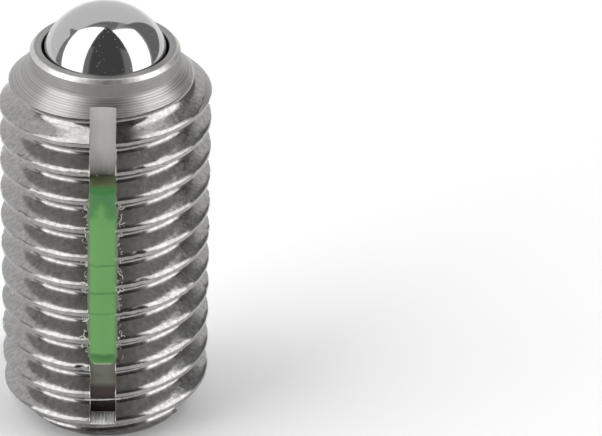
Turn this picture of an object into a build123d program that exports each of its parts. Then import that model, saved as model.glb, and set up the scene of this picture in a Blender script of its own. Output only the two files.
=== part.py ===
from build123d import *
import os
from math import ceil, cos, pi, radians, sin, sqrt, tan

os.makedirs("parts", exist_ok=True)

# A ball spring plunger with a metric thread, standing on its slotted end with the ball up.
# The origin is the centre of the slotted face and +Z runs along the screw axis.
# The locking groove faces -Y, give or take its turn. All sizes are in millimetres.

# Threaded sleeve
body_length = 19.0
thread_diameter = 9.86
thread_pitch = 1.5
thread_depth = 0.89
thread_phase = 1.08
crest_width = 0.20
root_width = 0.30
end_chamfer = 1.15
end_chamfer_angle = 48.5

# Nose that holds the ball
nose_wall = 0.45
nose_height = 0.86
nose_bevel = 0.19
nose_cone_angle = 43.5
neck_radius = 0.12
lip_gap = 0.11
lip_seat_depth = 0.30
crimp_length = 0.25

# Blind bore, drilled through the nose
bore_play = 0.05
bore_floor = 3.80
pilot_diameter = 3.40
drill_point_angle = 118.0

# Screwdriver slot, milled across the foot
driver_slot_width = 1.60
driver_slot_depth = 1.35
driver_slot_turn = -26.0

# Lengthwise groove for the locking strip
groove_width = 1.20
groove_depth = 1.13
groove_end = 1.39
groove_turn = -1.5

# Locking strip, pressed into the groove
strip_bottom = 4.82
strip_top = 14.40
strip_stand = 0.05
strip_crown = 0.12
strip_spread = 0.13
strip_corner = 0.25
strip_play = 0.01

# Ball and spring
ball_diameter = 6.0
ball_protrusion = 2.0
ball_play = 0.02
wire_diameter = 1.0
spring_play = 0.20
active_coils = 5.5
closed_coils = 1.0
closed_coil_gap = 0.04
wire_sides = 8
points_per_coil = 8

# How far each cutter runs past the surface that it cuts
overrun = 1.0

# Sizes that follow from these
thread_radius = thread_diameter / 2
root_radius = thread_radius - thread_depth
groove_floor_radius = thread_radius - groove_depth
ball_radius = ball_diameter / 2
ball_centre = body_length + ball_protrusion - ball_radius
bore_radius = ball_radius + bore_play
nose_radius = bore_radius + nose_wall
shoulder = body_length - nose_height
cone_foot = shoulder - (thread_radius - nose_radius) * tan(radians(nose_cone_angle))
seat_height = body_length - lip_seat_depth
seat_radius = sqrt(ball_radius**2 - (seat_height - ball_centre) ** 2) + ball_play
lip_radius = sqrt(ball_radius**2 - (body_length - ball_centre) ** 2) + lip_gap
coil_radius = bore_radius - spring_play - wire_diameter / 2
coil_top = ball_centre - sqrt(ball_radius**2 - (coil_radius - wire_diameter / 2) ** 2) - ball_play


def turned_blank():
    """The outside of the sleeve before threading: foot chamfer, barrel, cone and nose."""
    outline = Polyline(
        (0, 0),
        (thread_radius - end_chamfer, 0),
        (thread_radius, end_chamfer * tan(radians(end_chamfer_angle))),
        (thread_radius, cone_foot),
        (nose_radius, shoulder),
        (nose_radius, body_length - nose_bevel),
        (nose_radius - nose_bevel, body_length),
        (0, body_length),
        close=True,
    )
    blank = revolve(make_face(Plane.XZ * outline), Axis.Z)
    neck = blank.edges().filter_by(GeomType.CIRCLE).sort_by(lambda edge: abs(edge.center().Z - shoulder))[0]
    return fillet(neck, neck_radius)


def thread_turns(play):
    """The helical space between two crests, turn by turn, run out past both ends."""
    outside = thread_radius + thread_depth / 3
    flank = (thread_pitch - crest_width - root_width) / 2 / thread_depth
    half_root = root_width / 2 - play
    half_mouth = half_root + flank * (outside - root_radius)
    tooth = Polyline(
        (root_radius + play, -half_root),
        (root_radius + play, half_root),
        (outside, half_mouth),
        (outside, -half_mouth),
        close=True,
    )
    helix = Helix(thread_pitch, thread_pitch, root_radius + play)
    turn = sweep(make_face(Plane.XZ * tooth), path=helix, is_frenet=True)
    first = -ceil(thread_phase / thread_pitch) - 1
    last = ceil((body_length - thread_phase) / thread_pitch) + 1
    return [Pos(0, 0, thread_phase + count * thread_pitch) * turn for count in range(first, last)]


def bore():
    """The stepped hole: pilot drill point, spring bore, crimped seat and flared lip."""
    pilot_radius = pilot_diameter / 2
    point = pilot_radius / tan(radians(drill_point_angle / 2))
    above = body_length + overrun
    outline = Polyline(
        (0, bore_floor - point),
        (pilot_radius, bore_floor),
        (bore_radius, bore_floor),
        (bore_radius, seat_height - crimp_length),
        (seat_radius, seat_height),
        (lip_radius, body_length),
        (lip_radius, above),
        (0, above),
        close=True,
    )
    return revolve(make_face(Plane.XZ * outline), Axis.Z)


def front_box(width, inner, outer, bottom, top, turn):
    """A box that faces -Y from one radius to another, turned about the screw axis."""
    size = Box(width, outer - inner, top - bottom)
    return Rot(0, 0, turn) * Pos(0, -(inner + outer) / 2, (bottom + top) / 2) * size


def make_sleeve():
    """One turned part: thread, nose and bore, then the milled groove and slot."""
    past = thread_radius + overrun
    groove = front_box(groove_width, groove_floor_radius, past, groove_end, body_length, groove_turn)
    slot = Rot(0, 0, driver_slot_turn) * Box(2 * past, driver_slot_width, 2 * driver_slot_depth)
    return turned_blank() - thread_turns(0) - bore() - groove - slot


def make_strip():
    """The pressed plastic: a crowned bar that spreads sideways into each thread valley."""
    half = groove_width / 2 - strip_play
    inner = groove_floor_radius + strip_play
    edge = thread_radius + strip_stand
    section = make_face(
        Plane.XY.offset(strip_bottom)
        * (
            Polyline((-half, -edge), (-half, -inner), (half, -inner), (half, -edge))
            + ThreePointArc((half, -edge), (0, -edge - strip_crown), (-half, -edge))
        )
    )
    bar = extrude(section, strip_top - strip_bottom)
    bar = fillet(bar.edges().filter_by(Axis.Y), strip_corner)
    spread = front_box(
        groove_width + 2 * strip_spread,
        root_radius,
        thread_radius,
        strip_bottom + thread_pitch / 2,
        strip_top - thread_pitch / 2,
        groove_turn,
    )
    strip = Rot(0, 0, groove_turn) * bar
    for turn in thread_turns(strip_play):
        lobes = spread & turn
        if lobes:
            strip = strip + lobes
    return strip


def make_ball():
    """The polished ball, held up against the lip."""
    return Pos(0, 0, ball_centre) * Sphere(ball_radius)


def make_spring():
    """A compression spring with closed and ground ends, from the bore floor to the ball."""
    coils = active_coils + 2 * closed_coils
    closed_pitch = wire_diameter + closed_coil_gap
    length = coil_top - bore_floor
    active_pitch = (length - 2 * closed_coils * closed_pitch) / active_coils
    points = []
    for step in range(round(coils * points_per_coil) + 1):
        turn = step / points_per_coil
        opened = min(max(turn - closed_coils, 0), active_coils)
        rise = closed_pitch * (turn - opened) + active_pitch * opened
        around = 2 * pi * turn
        points.append(Vector(coil_radius * cos(around), coil_radius * sin(around), bore_floor + rise))
    path = Spline(*points)
    across = Plane(origin=path @ 0, x_dir=(1, 0, 0), z_dir=path % 0)
    corner_radius = wire_diameter / 2
    wire = sweep(across * RegularPolygon(corner_radius, wire_sides), path=path, is_frenet=True)
    ground = Pos(0, 0, bore_floor + length / 2) * Cylinder(bore_radius, length)
    return wire & ground


parts = {
    "sleeve": make_sleeve(),
    "locking_strip": make_strip(),
    "spring": make_spring(),
    "ball": make_ball(),
}
for name, part in parts.items():
    export_step(part, f"parts/{name}.step")
    print(name, round(part.volume, 2), "mm3")
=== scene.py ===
# %% [markdown]
# # A ball spring plunger
#
# A spring plunger is a small threaded sleeve with a spring and a ball inside. The ball sticks out of
# the nose and snaps into a hole of the piece that slides past it. This one is turned from stainless
# steel, has a green plastic strip pressed into a groove so that it doesn't shake loose, and a
# screwdriver slot in its foot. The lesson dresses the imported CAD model: it measures the model, builds
# each visible piece again with finer shapes, and gives each one the finish of its real surface.

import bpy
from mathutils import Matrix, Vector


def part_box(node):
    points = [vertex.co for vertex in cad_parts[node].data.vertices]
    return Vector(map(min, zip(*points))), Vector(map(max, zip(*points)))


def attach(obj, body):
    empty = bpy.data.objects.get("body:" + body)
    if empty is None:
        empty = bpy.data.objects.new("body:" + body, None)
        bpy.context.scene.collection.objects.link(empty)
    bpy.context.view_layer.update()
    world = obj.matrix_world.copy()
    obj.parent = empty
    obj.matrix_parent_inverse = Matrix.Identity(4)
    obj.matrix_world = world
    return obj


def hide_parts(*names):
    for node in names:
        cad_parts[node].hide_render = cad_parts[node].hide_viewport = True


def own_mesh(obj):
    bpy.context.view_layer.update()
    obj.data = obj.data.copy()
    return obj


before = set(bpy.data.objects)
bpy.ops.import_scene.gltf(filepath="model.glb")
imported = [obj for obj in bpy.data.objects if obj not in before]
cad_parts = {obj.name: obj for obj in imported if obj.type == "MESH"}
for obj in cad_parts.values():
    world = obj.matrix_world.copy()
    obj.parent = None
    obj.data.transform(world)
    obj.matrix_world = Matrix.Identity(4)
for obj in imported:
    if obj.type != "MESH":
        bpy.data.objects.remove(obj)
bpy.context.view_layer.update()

# %% [markdown]
# All lengths of the lesson are written in millimetres, as on a drawing, and turned into Blender's
# metres with one factor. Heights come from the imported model, so that each finer piece sits where the
# CAD piece sits.

# %% Sizes
from math import asin, atan2, cos, degrees, pi, radians, sin, sqrt, tan
from random import Random

import bmesh
import bpy
from mathutils import Matrix, Vector, noise

MM = 0.001
nose_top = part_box("sleeve")[1].z / MM
strip_low, strip_high = (corner.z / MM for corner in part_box("locking_strip"))
spring_low, spring_high = (corner.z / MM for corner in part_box("spring"))
ball_low, ball_high = (corner.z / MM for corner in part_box("ball"))
ball_radius = (ball_high - ball_low) / 2
ball_centre = (ball_high + ball_low) / 2
print("sleeve", round(nose_top, 2), "strip", round(strip_low, 2), round(strip_high, 2))
print("spring", round(spring_low, 2), round(spring_high, 2), "ball", round(ball_centre, 2))

# %% [markdown]
# The thread is M10 x 1.5: ten millimetres across, give or take its play, and one and a half from turn
# to turn. Its numbers are those of the CAD source. A thread cut with a worn tool has a flat crest and a
# flat root, and the two flanks share what is left of the pitch.

# %% Sizes of the thread
thread_pitch = 1.5
crest_radius = 4.93
root_radius = 4.04
crest_width = 0.20
root_width = 0.30
flank_length = (thread_pitch - crest_width - root_width) / 2
valley_height = 1.08
crest_height = valley_height + thread_pitch / 2
valley_angle = 2 * degrees(atan2(flank_length, crest_radius - root_radius))
print("the valley opens by", round(valley_angle, 1), "degrees")

# %% [markdown]
# ## Helpers
#
# Four small helpers carry the whole lesson. The first turns a colour as a designer writes it, a hex
# code in sRGB, into the linear numbers that Blender calculates with. The next two set or link the
# inputs of a node, and add a node with its settings. The last puts a finished mesh into the scene.

# %% Colour and node helpers
def linear(hex_code):
    """A linear RGBA colour from an sRGB hex code."""
    channels = [int(hex_code[i : i + 2], 16) / 255 for i in (1, 3, 5)]
    return [c / 12.92 if c <= 0.04045 else ((c + 0.055) / 1.055) ** 2.4 for c in channels] + [1.0]


def connect(tree, node, inputs):
    """Sets each input to a value, or links it to a socket or to the first output of a node."""
    for key, value in inputs.items():
        if isinstance(value, bpy.types.Node):
            value = value.outputs[0]
        if isinstance(value, bpy.types.NodeSocket):
            tree.links.new(value, node.inputs[key])
        else:
            node.inputs[key].default_value = value


def add_node(tree, kind, inputs=None, **settings):
    """One node, with its settings and its inputs."""
    node = tree.nodes.new(kind)
    for name, value in settings.items():
        setattr(node, name, value)
    connect(tree, node, inputs or {})
    return node


def add_object(name, data):
    """An object at the origin that shows a mesh, a curve or a camera."""
    piece = bpy.data.objects.new(name, data)
    bpy.context.scene.collection.objects.link(piece)
    return piece


print("mid grey is", [round(channel, 3) for channel in linear("#808080")[:3]])

# %% [markdown]
# Pieces are made in two ways. Some are built face by face in a bmesh, Blender's workbench for meshes,
# and some come out of a modifier. Either way the end is a plain mesh with nothing live on it.

# %% Mesh helpers
def add_solid(name, work, materials):
    """An object from a finished bmesh, with its materials."""
    mesh = bpy.data.meshes.new(name)
    work.to_mesh(mesh)
    work.free()
    for material in materials:
        mesh.materials.append(material)
    return add_object(name, mesh)


def plain_mesh(piece):
    """A mesh of what an object shows with its modifiers."""
    bpy.context.view_layer.update()
    return bpy.data.meshes.new_from_object(piece.evaluated_get(bpy.context.evaluated_depsgraph_get()))


print("mesh helpers are ready")

# %% [markdown]
# ## Finishes, first as names
#
# The sleeve is cut by several tools, and each leaves its own surface. A Boolean modifier carries the
# cutter's material over to the faces it cuts, so each cutter gets its material before it cuts. Here
# the materials only get their names; their nodes are built further down.

# %% Name the materials
threaded = bpy.data.materials.new("stainless_steel_cut_thread")
turned = bpy.data.materials.new("stainless_steel_turned")
burnished = bpy.data.materials.new("stainless_steel_burnished_rim")
torn_edge = bpy.data.materials.new("stainless_steel_bright_burr")
milled = bpy.data.materials.new("stainless_steel_milled_groove")
end_milled = bpy.data.materials.new("stainless_steel_end_milled")
slotted = bpy.data.materials.new("stainless_steel_sawn_slot")
bored = bpy.data.materials.new("stainless_steel_bored")
nylon = bpy.data.materials.new("polyamide_green_pressed")
shavings = bpy.data.materials.new("polyamide_shavings")
wire_steel = bpy.data.materials.new("spring_steel_drawn_wire")
ball_steel = bpy.data.materials.new("bearing_steel_polished")
print(len(bpy.data.materials), "materials")

# %% [markdown]
# ## The thread
#
# A screw thread is one profile carried round a helix. It could be a Screw modifier or an array of
# rings, but a rule is shorter: every point of a flat grid gets an angle from its place along the grid
# and a radius from its place across it. Geometry Nodes does that with a few Math nodes. Smooth Minimum
# rounds the crest's two edges and Smooth Maximum rounds the root, as a worn cutting tool does.

# %% Start, end and grow a node tree
def start_tree(name, sizes):
    """A Geometry Nodes tree with one input for each name in sizes, and the sockets of its inputs.

    Its first input is the mesh that it grows on, which may be empty.
    """
    tree = bpy.data.node_groups.new(name, "GeometryNodeTree")
    tree.interface.new_socket("Seeds", in_out="INPUT", socket_type="NodeSocketGeometry")
    for label, value in sizes.items():
        kind = "NodeSocketInt" if isinstance(value, int) else "NodeSocketFloat"
        tree.interface.new_socket(label, in_out="INPUT", socket_type=kind)
    tree.interface.new_socket("Material", in_out="INPUT", socket_type="NodeSocketMaterial")
    tree.interface.new_socket("Geometry", in_out="OUTPUT", socket_type="NodeSocketGeometry")
    return tree, tree.nodes.new("NodeGroupInput").outputs


def end_tree(tree, geometry, material):
    """Ends the tree in Realize Instances and Set Material."""
    plain = add_node(tree, "GeometryNodeRealizeInstances", {0: geometry})
    dressed = add_node(tree, "GeometryNodeSetMaterial", {0: plain, "Material": material})
    add_node(tree, "NodeGroupOutput", {0: dressed})


def grow(name, tree, sizes, material, seeds=None):
    """A plain mesh object from a tree, with the inputs set by their identifiers."""
    host = add_object(name + "_host", seeds or bpy.data.meshes.new(name + "_host"))
    modifier = host.modifiers.new("grow", "NODES")
    modifier.node_group = tree
    for item in tree.interface.items_tree:
        if item.in_out == "INPUT" and item.socket_type != "NodeSocketGeometry":
            modifier[item.identifier] = material if item.name == "Material" else sizes[item.name]
    mesh = plain_mesh(host)
    host.modifiers.remove(modifier)
    bpy.data.objects.remove(host)
    mesh.name = name
    return add_object(name, mesh)


print("tree helpers are ready")

# %% [markdown]
# The grid has a step for every 2.4 degrees of the helix along it, and enough steps across it for the
# two roundings. It starts below the foot and ends above the nose, because what stands over is cut off
# later, when the turned shape is cut out of it.

# %% The tree's helix: an angle for each grid point
thread_sizes = {
    "Pitch": thread_pitch * MM,
    "Crest Radius": crest_radius * MM,
    "Root Radius": root_radius * MM,
    "Crest Width": crest_width * MM,
    "Flank Length": flank_length * MM,
    "Edge Rounding": 0.115 * MM,
    "Root Rounding": 0.34 * MM,
    "Start Height": (crest_height - 3 * thread_pitch) * MM,
    "Nick Depth": 0.10 * MM,
    "Nick Size": 0.17 * MM,
    "Turns": 16,
    "Steps per Turn": 150,
    "Steps Across": 26,
    "Gathering": 1.4,
}
tree, given = start_tree("helical thread", thread_sizes)
per_turn = given["Steps per Turn"]
steps = add_node(tree, "ShaderNodeMath", {0: given["Turns"], 1: per_turn}, operation="MULTIPLY")
along = add_node(tree, "ShaderNodeMath", {0: steps, 1: 1.0})
across = add_node(tree, "ShaderNodeMath", {0: given["Steps Across"], 1: 1.0})
grid = add_node(
    tree, "GeometryNodeMeshGrid", {"Size X": 1.0, "Size Y": 2.0, "Vertices X": along, "Vertices Y": across}
)
place = add_node(tree, "ShaderNodeSeparateXYZ", {0: add_node(tree, "GeometryNodeInputPosition")}).outputs
travel = add_node(tree, "ShaderNodeMath", {0: place["X"], 1: 0.5})
turn = add_node(tree, "ShaderNodeMath", {0: travel, 1: given["Turns"]}, operation="MULTIPLY")
angle = add_node(tree, "ShaderNodeMath", {0: turn, 1: 2 * pi}, operation="MULTIPLY")
print("grid of", thread_sizes["Turns"], "turns of", thread_sizes["Steps per Turn"], "steps")

# %% [markdown]
# Across the grid the points are gathered near the crest, where the two small roundings need them. The
# power keeps the middle and both ends in place, so that neighbouring turns still meet point to point.

# %% The tree's profile: a radius for each grid point
top, bottom = given["Crest Radius"], given["Root Radius"]
side = add_node(tree, "ShaderNodeMath", {0: place["Y"]}, operation="SIGN")
distance = add_node(tree, "ShaderNodeMath", {0: place["Y"]}, operation="ABSOLUTE")
gathered = add_node(tree, "ShaderNodeMath", {0: distance, 1: given["Gathering"]}, operation="POWER")
half_pitch = add_node(tree, "ShaderNodeMath", {0: given["Pitch"], 1: 0.5}, operation="MULTIPLY")
from_crest = add_node(tree, "ShaderNodeMath", {0: gathered, 1: half_pitch}, operation="MULTIPLY")
half_crest = add_node(tree, "ShaderNodeMath", {0: given["Crest Width"], 1: 0.5}, operation="MULTIPLY")
past_edge = add_node(tree, "ShaderNodeMath", {0: from_crest, 1: half_crest}, operation="SUBTRACT")
depth = add_node(tree, "ShaderNodeMath", {0: top, 1: bottom}, operation="SUBTRACT")
slope = add_node(tree, "ShaderNodeMath", {0: depth, 1: given["Flank Length"]}, operation="DIVIDE")
fall = add_node(tree, "ShaderNodeMath", {0: past_edge, 1: slope}, operation="MULTIPLY")
flank = add_node(tree, "ShaderNodeMath", {0: top, 1: fall}, operation="SUBTRACT")
crest = add_node(tree, "ShaderNodeMath", {0: top, 1: flank, 2: given["Edge Rounding"]}, operation="SMOOTH_MIN")
hollow = {0: bottom, 1: crest, 2: given["Root Rounding"]}
clean = add_node(tree, "ShaderNodeMath", hollow, operation="SMOOTH_MAX")
print("the profile takes", len(tree.nodes), "nodes so far")

# %% [markdown]
# Tumbling and packing leave small nicks on a crest, and they break its highlight up. A noise that only
# counts near the crest, and only where it is strong, takes a little off the radius there. The noise
# reads a place on a wheel, with the turn as its height, so that it runs on smoothly round the helix.

# %% The tree's nicks: a little off the crest, here and there
nick_reach = 0.12 * MM
cosine = add_node(tree, "ShaderNodeMath", {0: angle}, operation="COSINE")
sine = add_node(tree, "ShaderNodeMath", {0: angle}, operation="SINE")
wheel = add_node(tree, "ShaderNodeCombineXYZ", {0: cosine, 1: sine, 2: turn})
fineness = add_node(tree, "ShaderNodeMath", {0: top, 1: given["Nick Size"]}, operation="DIVIDE")
hits = add_node(tree, "ShaderNodeTexNoise", {"Vector": wheel, "Scale": fineness, "Detail": 2.0})
strong = add_node(tree, "ShaderNodeMapRange", {0: hits, 1: 0.56, 2: 0.80})
near = add_node(tree, "ShaderNodeMapRange", {0: past_edge, 1: 0.0, 2: nick_reach, 3: 1.0, 4: 0.0})
struck = add_node(tree, "ShaderNodeMath", {0: strong, 1: near}, operation="MULTIPLY")
nick = add_node(tree, "ShaderNodeMath", {0: struck, 1: given["Nick Depth"]}, operation="MULTIPLY")
radius = add_node(tree, "ShaderNodeMath", {0: clean, 1: nick}, operation="SUBTRACT")
print("nicks up to", thread_sizes["Nick Depth"] / MM, "mm deep")

# %% [markdown]
# With an angle, a radius and a height, each grid point goes to its place in space. The upper edge of
# one turn lies on the lower edge of the next, so welding by distance makes one unbroken surface.

# %% The tree's end: each point to its place, and the turns welded together
offset = add_node(tree, "ShaderNodeMath", {0: from_crest, 1: side}, operation="MULTIPLY")
climb = add_node(tree, "ShaderNodeMath", {0: turn, 1: given["Pitch"]}, operation="MULTIPLY")
level = add_node(tree, "ShaderNodeMath", {0: climb, 1: given["Start Height"]})
height = add_node(tree, "ShaderNodeMath", {0: level, 1: offset})
right = add_node(tree, "ShaderNodeMath", {0: radius, 1: cosine}, operation="MULTIPLY")
back = add_node(tree, "ShaderNodeMath", {0: radius, 1: sine}, operation="MULTIPLY")
spot = add_node(tree, "ShaderNodeCombineXYZ", {0: right, 1: back, 2: height})
wound = add_node(tree, "GeometryNodeSetPosition", {0: grid, "Position": spot})
welded = add_node(tree, "GeometryNodeMergeByDistance", {0: wound, "Distance": 0.002 * MM})
end_tree(tree, welded, given["Material"])
sleeve = grow("sleeve_threaded", tree, thread_sizes, threaded)
print("thread", len(sleeve.data.vertices), "points", len(sleeve.data.polygons), "faces")

# %% [markdown]
# The grown thread is an open pipe. A Boolean needs a closed solid, so each ragged end is closed with a
# fan of triangles to one point on the axis. Both ends lie beyond the sleeve and are cut off again.

# %% Close the two ends
def close_ends(mesh):
    """Closes both ends of an upright pipe with fans to its axis, and turns all faces outwards."""
    work = bmesh.new()
    work.from_mesh(mesh)
    open_edges = [edge for edge in work.edges if edge.is_boundary]
    middle = sum(vert.co.z for vert in work.verts) / len(work.verts)
    for end in (-1, 1):
        rim = [edge for edge in open_edges if (edge.verts[0].co.z - middle) * end > 0]
        hub_height = sum(edge.verts[0].co.z for edge in rim) / len(rim)
        hub = work.verts.new((0, 0, hub_height))
        for edge in rim:
            work.faces.new((edge.verts[0], edge.verts[1], hub))
    bmesh.ops.recalc_face_normals(work, faces=work.faces)
    work.to_mesh(mesh)
    left_open = sum(edge.is_boundary for edge in work.edges)
    work.free()
    return left_open


print("open edges left", close_ends(sleeve.data))

# %% [markdown]
# ## The turned shape
#
# Before threading, the sleeve is a turned bar: a chamfered foot, a barrel, a cone and a nose with a
# small bevel. A lathe part is a drawn outline spun round its axis, so the outline is a list of corners
# with a rounding at each one. The barrel is drawn wider than the thread: where the two solids overlap
# the thread is kept, and only the foot, the cone and the nose cut into it.

# %% Outline and spin helpers
def rounded_outline(corners, steps=5):
    """Points along an outline of (radius, height, rounding) corners, with each corner rounded."""
    points = []
    for index, (x, z, rounding) in enumerate(corners):
        corner = Vector((x, z))
        if not rounding:
            points.append(corner)
            continue
        before = (Vector(corners[index - 1][:2]) - corner).normalized()
        after = (Vector(corners[index + 1][:2]) - corner).normalized()
        half = before.angle(after) / 2
        centre = corner + (before + after).normalized() * rounding / sin(half)
        start = corner + before * rounding / tan(half) - centre
        finish = corner + after * rounding / tan(half) - centre
        for step in range(steps + 1):
            points.append(centre + start.slerp(finish, step / steps) * rounding)
    return points


def spin(name, outline, materials, around=144, face_material=lambda height, radius: 0):
    """A closed solid from an outline that starts and ends on the axis."""
    work = bmesh.new()
    turns = [2 * pi * step / around for step in range(around)]
    rings = []
    for point in outline:
        ways = turns if point.x > 1e-6 else [0]
        places = [(point.x * cos(way) * MM, point.x * sin(way) * MM, point.y * MM) for way in ways]
        rings.append([work.verts.new(place) for place in places])
    for low, high, start, finish in zip(rings, rings[1:], outline, outline[1:]):
        middle = (start + finish) / 2
        for step in range(around):
            after = (step + 1) % around
            loop = ((low, step), (low, after), (high, after), (high, step))
            verts = [ring[index % len(ring)] for ring, index in loop]
            face = work.faces.new(list(dict.fromkeys(verts)))
            face.material_index = face_material(middle.y, middle.x)
    bmesh.ops.recalc_face_normals(work, faces=work.faces)
    return add_solid(name, work, materials)


print("spin helper is ready")

# %% [markdown]
# The blank's angles and lengths are read off the photograph, against the thread. The bevel at the top
# of the nose is burnished, not turned: the punch that crimps the nose over the ball slides on it. So
# the faces of the bevel get a second material.

# %% The turned blank
foot_radius = 3.78
foot_slope = tan(radians(48.5))
cone_slope = tan(radians(43.5))
nose_radius = 3.50
nose_height = 0.86
nose_bevel = 0.19
nose_taper = 0.03
barrel_radius = 5.3
shoulder = nose_top - nose_height
bevel_inner, bevel_low = nose_radius - nose_bevel - 0.02, nose_top - nose_bevel - 0.01
blank_corners = [
    (0, 0, 0),
    (foot_radius, 0, 0.05),
    (barrel_radius, (barrel_radius - foot_radius) * foot_slope, 0),
    (barrel_radius, shoulder - (barrel_radius - nose_radius) * cone_slope, 0),
    (nose_radius, shoulder, 0.12),
    (nose_radius - nose_taper, nose_top - nose_bevel, 0.05),
    (nose_radius - nose_bevel, nose_top, 0.11),
    (0, nose_top, 0),
]
blank = spin(
    "blank",
    rounded_outline(blank_corners),
    [turned, burnished],
    face_material=lambda height, radius: int(height > bevel_low and radius > bevel_inner),
)
print("blank", len(blank.data.polygons), "faces")

# %% [markdown]
# ## Cutting
#
# One helper runs an exact Boolean and keeps the result as a plain mesh. The cutters follow the real
# order of work: the lathe's outline, the stepped bore, the lengthwise groove and the slot.

# %% The cutting helper
def carve(target, cutter, how):
    """Cuts target with cutter for good, and removes the cutter."""
    modifier = target.modifiers.new("carve", "BOOLEAN")
    modifier.object = cutter
    modifier.operation = how
    modifier.solver = "EXACT"
    modifier.material_mode = "TRANSFER"
    carved = plain_mesh(target)
    target.modifiers.remove(modifier)
    target.data = carved
    bpy.data.objects.remove(cutter)
    return len(carved.polygons)


def block(name, material, low, high, turn):
    """A box between two corners in millimetres, turned about the screw axis by some degrees."""
    work = bmesh.new()
    bmesh.ops.create_cube(work, size=1)
    size = Vector(high) - Vector(low)
    centre = (Vector(high) + Vector(low)) / 2
    spun = Matrix.Rotation(radians(turn), 4, "Z")
    work.transform(spun @ Matrix.Translation(centre * MM) @ Matrix.Diagonal((*(size * MM), 1)))
    return add_solid(name, work, [material])


print("after the blank", carve(sleeve, blank, "INTERSECT"), "faces")

# %% [markdown]
# The bore is drilled from the nose. Its floor is where the spring stands, with the point of the pilot
# drill in the middle. Near the top it is crimped to a lip that holds the ball, and the lip flares a
# little where the punch went in.

# %% The bore
bore_radius, lip_radius = 3.05, 2.94
pilot_radius, drill_point = 1.70, 1.02
crimp_low, crimp_high, flare_height, flare_width = 0.55, 0.30, 0.03, 0.13
overrun = 0.10
bore_corners = [
    (0, spring_low - drill_point, 0),
    (pilot_radius, spring_low, 0),
    (bore_radius, spring_low, 0),
    (bore_radius, nose_top - crimp_low, 0),
    (lip_radius, nose_top - crimp_high, 0),
    (lip_radius, nose_top - flare_height, 0),
    (lip_radius + flare_width, nose_top + overrun, 0),
    (0, nose_top + overrun, 0),
]
bore = spin("bore", rounded_outline(bore_corners), [bored])
print("after the bore", carve(sleeve, bore, "DIFFERENCE"), "faces")

# %% [markdown]
# The groove for the strip and the screwdriver slot are milled, so their cutters are boxes that run past
# the metal. The groove's lower end is the mark of the cutter's end teeth and gets a material of its own.

# %% The groove and the slot
groove_half, groove_floor, groove_end, groove_turn = 0.60, 3.80, 1.39, -1.5
slot_half, slot_depth, slot_turn = 0.80, 1.35, -26.0
past_side, past_top, past_foot = 6, 21, -1
groove_low = (-groove_half, -past_side, groove_end)
groove_high = (groove_half, -groove_floor, past_top)
groove = block("groove", milled, groove_low, groove_high, groove_turn)
groove.data.materials.append(end_milled)
for face in groove.data.polygons:
    face.material_index = int(face.normal.z < -0.5)
print("after the groove", carve(sleeve, groove, "DIFFERENCE"), "faces")
slot_low = (-past_side, -slot_half, past_foot)
slot_high = (past_side, slot_half, slot_depth)
slot = block("slot", slotted, slot_low, slot_high, slot_turn)
print("after the slot", carve(sleeve, slot, "DIFFERENCE"), "faces")

# %% [markdown]
# A metal part looks wrong as soon as a curved face shows its flat pieces. Faces are shaded smooth, and
# only the edges where two faces meet at a real angle stay sharp. First the doubles that a Boolean
# leaves are welded.

# %% Smooth shading with sharp edges
def shade(mesh, sharp_angle=28):
    """Shades all faces smooth, marks the edges above an angle as sharp, and counts the open edges."""
    tiny = 0.0004 * MM
    work = bmesh.new()
    work.from_mesh(mesh)
    bmesh.ops.remove_doubles(work, verts=work.verts, dist=tiny)
    bmesh.ops.dissolve_degenerate(work, edges=work.edges, dist=tiny)
    for face in work.faces:
        face.smooth = True
    for edge in work.edges:
        edge.smooth = edge.is_manifold and edge.calc_face_angle(0) < radians(sharp_angle)
    left_open = sum(not edge.is_manifold for edge in work.edges)
    work.to_mesh(mesh)
    work.free()
    return left_open


print("edges that are not closed", shade(sleeve.data))
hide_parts("sleeve")
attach(sleeve, "sleeve")

# %% [markdown]
# ## The locking strip
#
# The green strip is soft nylon. It is pressed into the groove until it stands a little above the
# crests, and squeezes out sideways into each valley. It is built as a stack of cross-sections: at each
# height the sides spread where the thread leaves them room, by a rule for how deep the valley is there.

# %% How deep the thread is at a point
def thread_radius(angle, height):
    """The radius of the thread's surface, in millimetres, at an angle and a height."""
    rise = height - crest_height - thread_pitch * angle / (2 * pi)
    from_crest = abs((rise / thread_pitch + 0.5) % 1 - 0.5) * thread_pitch
    fall = (from_crest - crest_width / 2) * (crest_radius - root_radius) / flank_length
    return max(root_radius, crest_radius - max(fall, 0))


front = -pi / 2 + radians(groove_turn)
low_valley = min((thread_radius(front, step / 100), step / 100) for step in range(300))[1]
print("in front the lowest valley starts at", low_valley, "mm")

# %% [markdown]
# Each section is a flat-sided bar with a crowned face. The crown was pressed flat at both ends, the
# corners of the lower end are round, and a slow noise makes each lobe spread a little differently.

# %% The strip's cross-sections
strip_inner, strip_edge, strip_crown = 3.81, 4.98, 0.12
strip_half, strip_corner, strip_spread = 0.59, 0.42, 0.13
strip_cut, cut_corner, cut_fall = strip_high - 0.12, 0.06, 0.30
strip_foot, foot_fall = strip_low - 0.08, 0.12
flat_end, lobe_fade, lobe_room = 0.3, 0.4, 0.25
side_points = 12


def held(value):
    """A value held between nought and one."""
    return min(max(value, 0), 1)


def rounding_back(distance, radius):
    """How far a rounded corner of a radius draws back at a distance from the end."""
    inside = min(max(radius - distance, 0), radius)
    return radius - sqrt(radius**2 - inside**2)


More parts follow.
